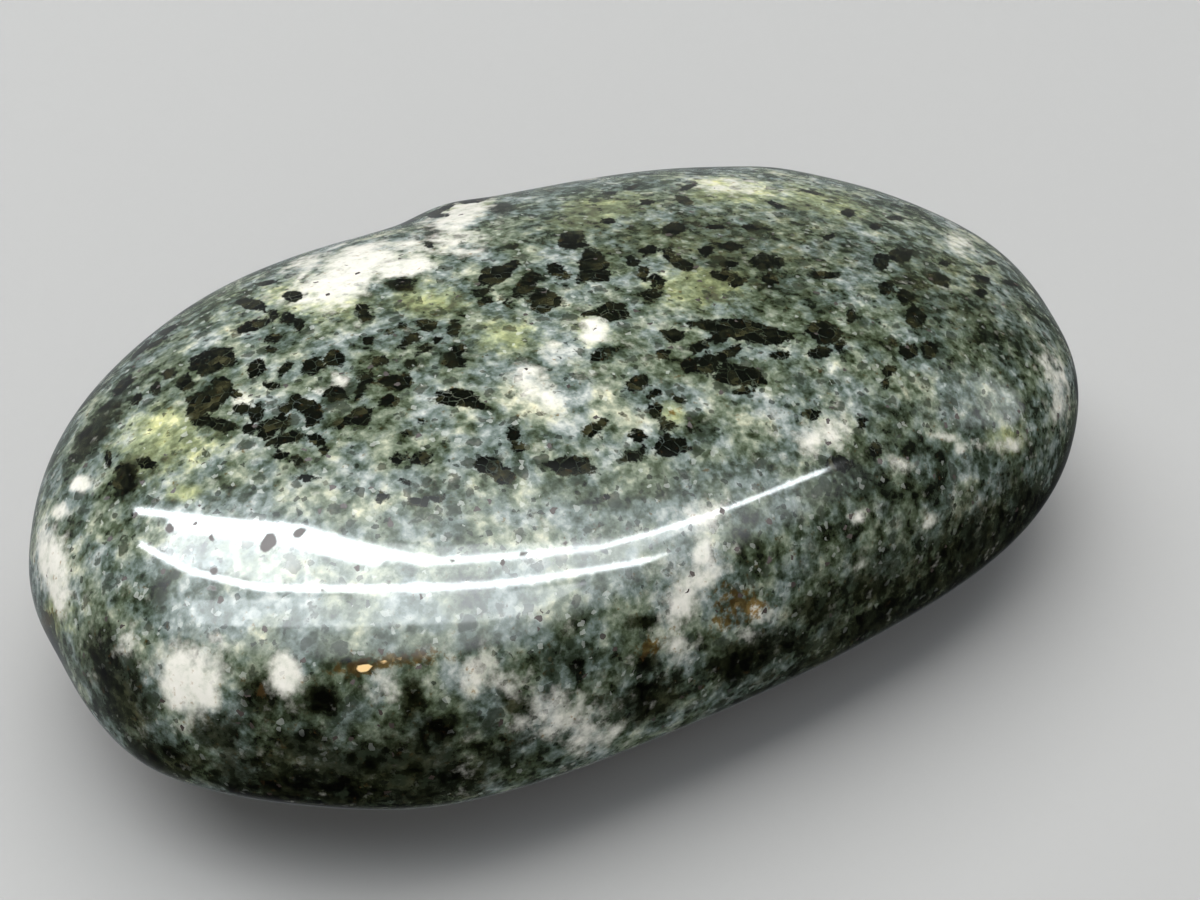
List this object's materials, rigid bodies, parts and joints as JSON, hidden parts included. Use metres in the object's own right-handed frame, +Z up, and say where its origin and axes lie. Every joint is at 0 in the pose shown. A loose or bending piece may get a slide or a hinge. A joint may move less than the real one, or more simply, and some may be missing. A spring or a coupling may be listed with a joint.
{
  "type": "tumbled stone",
  "caption": "Flat oval pebble of spotted dark green dolerite, tumbled smooth and polished, lying on a small flat spot.",
  "frame": {"origin": "on the surface that the stone rests on, under the middle of its bounding box", "axes": "+X along the stone's length, +Z up through its thickness, from the flat spot to the crown"},
  "size_m": [0.06, 0.038, 0.0177],
  "materials": {
    "polished_bluestone": "tumbled and polished dolerite: grey-green ground with black, white and olive mineral grains"
  },
  "bodies": {
    "root": {"stone": "polished_bluestone"}
  },
  "joints": []
}
